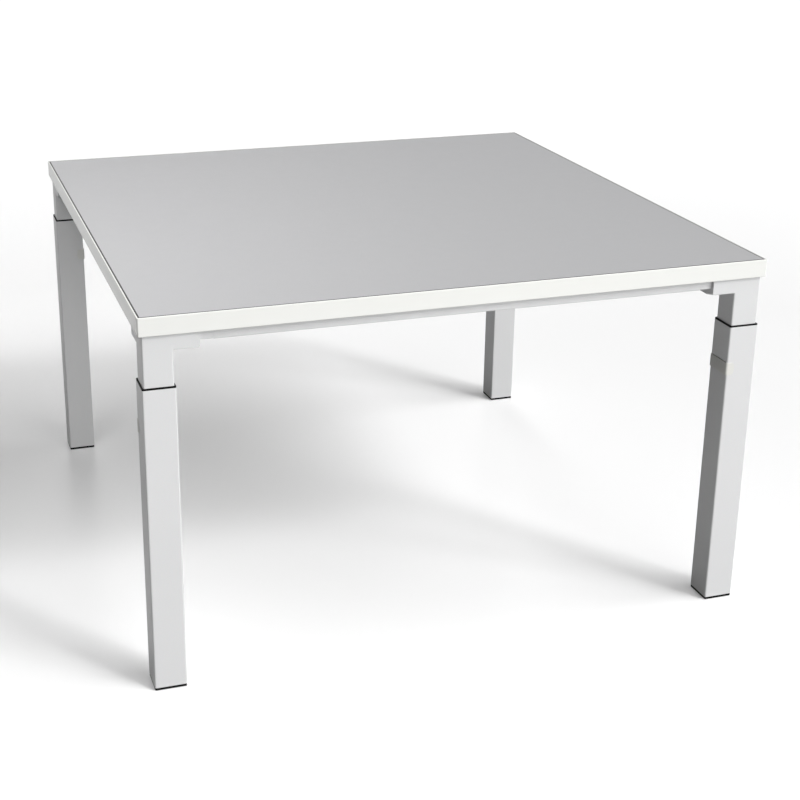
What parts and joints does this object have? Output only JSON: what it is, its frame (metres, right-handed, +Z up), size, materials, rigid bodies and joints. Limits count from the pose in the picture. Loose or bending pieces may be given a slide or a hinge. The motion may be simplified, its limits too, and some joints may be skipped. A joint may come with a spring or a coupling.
{
  "type": "telescoping table",
  "caption": "Square work table with a thick laminate top on height-adjustable square legs, each an inner column sliding in an outer tube, with rails under the top.",
  "frame": {"origin": "on the floor, under the middle of the table top, at the rest setting", "axes": "+X to the right along the front edge, +Y to the back, +Z up"},
  "size_m": [1.2, 1.2, 0.72],
  "materials": {
    "particle_board": "raw particle board",
    "grey_laminate": "satin high-pressure laminate",
    "backing_sheet": "matt backing laminate",
    "white_edge": "satin edge band",
    "silver_paint": "satin silver powder coat",
    "silver_casting": "satin silver powder coat on a casting",
    "black_plastic": "moulded, matt",
    "light_cover": "moulded, satin",
    "zinc_steel": "zinc plated"
  },
  "bodies": {
    "table_top": {"top_core": "particle_board", "top_laminate": "grey_laminate", "backing_laminate": "backing_sheet", "edge_band_front": "white_edge", "edge_band_back": "white_edge", "edge_band_left": "white_edge", "edge_band_right": "white_edge", "rail_front": "silver_paint", "rail_back": "silver_paint", "rail_left": "silver_paint", "rail_right": "silver_paint", "leg_head_front_left": "silver_casting", "inner_column_front_left": "silver_paint", "column_slider_front_left": "black_plastic", "leg_head_front_right": "silver_casting", "inner_column_front_right": "silver_paint", "column_slider_front_right": "black_plastic", "leg_head_back_left": "silver_casting", "inner_column_back_left": "silver_paint", "column_slider_back_left": "black_plastic", "leg_head_back_right": "silver_casting", "inner_column_back_right": "silver_paint", "column_slider_back_right": "black_plastic", "top_screws": "zinc_steel", "threaded_inserts": "zinc_steel", "tie_bolts": "zinc_steel", "rail_bolts": "zinc_steel"},
    "leg_front_left": {"outer_tube_front_left": "silver_paint", "collar_front_left": "black_plastic", "foot_plug_front_left": "black_plastic", "clamp_screw_front_left": "zinc_steel", "clamp_nut_front_left": "zinc_steel", "clamp_cover_front_left": "light_cover"},
    "leg_front_right": {"outer_tube_front_right": "silver_paint", "collar_front_right": "black_plastic", "foot_plug_front_right": "black_plastic", "clamp_screw_front_right": "zinc_steel", "clamp_nut_front_right": "zinc_steel", "clamp_cover_front_right": "light_cover"},
    "leg_back_left": {"outer_tube_back_left": "silver_paint", "collar_back_left": "black_plastic", "foot_plug_back_left": "black_plastic", "clamp_screw_back_left": "zinc_steel", "clamp_nut_back_left": "zinc_steel", "clamp_cover_back_left": "light_cover"},
    "leg_back_right": {"outer_tube_back_right": "silver_paint", "collar_back_right": "black_plastic", "foot_plug_back_right": "black_plastic", "clamp_screw_back_right": "zinc_steel", "clamp_nut_back_right": "zinc_steel", "clamp_cover_back_right": "light_cover"},
    "foot_front_left": {"glide_front_left": "black_plastic"},
    "foot_front_right": {"glide_front_right": "black_plastic"},
    "foot_back_left": {"glide_back_left": "black_plastic"},
    "foot_back_right": {"glide_back_right": "black_plastic"}
  },
  "joints": [
    {"name": "leg_front_left_extension", "type": "slide", "parent": "table_top", "child": "leg_front_left", "axis": [0, 0, -1], "range_m": [-0.055, 0.1]},
    {"name": "leg_front_right_extension", "type": "slide", "parent": "table_top", "child": "leg_front_right", "axis": [0, 0, -1], "range_m": [-0.055, 0.1]},
    {"name": "leg_back_left_extension", "type": "slide", "parent": "table_top", "child": "leg_back_left", "axis": [0, 0, -1], "range_m": [-0.055, 0.1]},
    {"name": "leg_back_right_extension", "type": "slide", "parent": "table_top", "child": "leg_back_right", "axis": [0, 0, -1], "range_m": [-0.055, 0.1]},
    {"name": "foot_front_left_levelling", "type": "slide", "parent": "leg_front_left", "child": "foot_front_left", "axis": [0, 0, -1], "range_m": [0, 0.01]},
    {"name": "foot_front_right_levelling", "type": "slide", "parent": "leg_front_right", "child": "foot_front_right", "axis": [0, 0, -1], "range_m": [0, 0.01]},
    {"name": "foot_back_left_levelling", "type": "slide", "parent": "leg_back_left", "child": "foot_back_left", "axis": [0, 0, -1], "range_m": [0, 0.01]},
    {"name": "foot_back_right_levelling", "type": "slide", "parent": "leg_back_right", "child": "foot_back_right", "axis": [0, 0, -1], "range_m": [0, 0.01]}
  ]
}
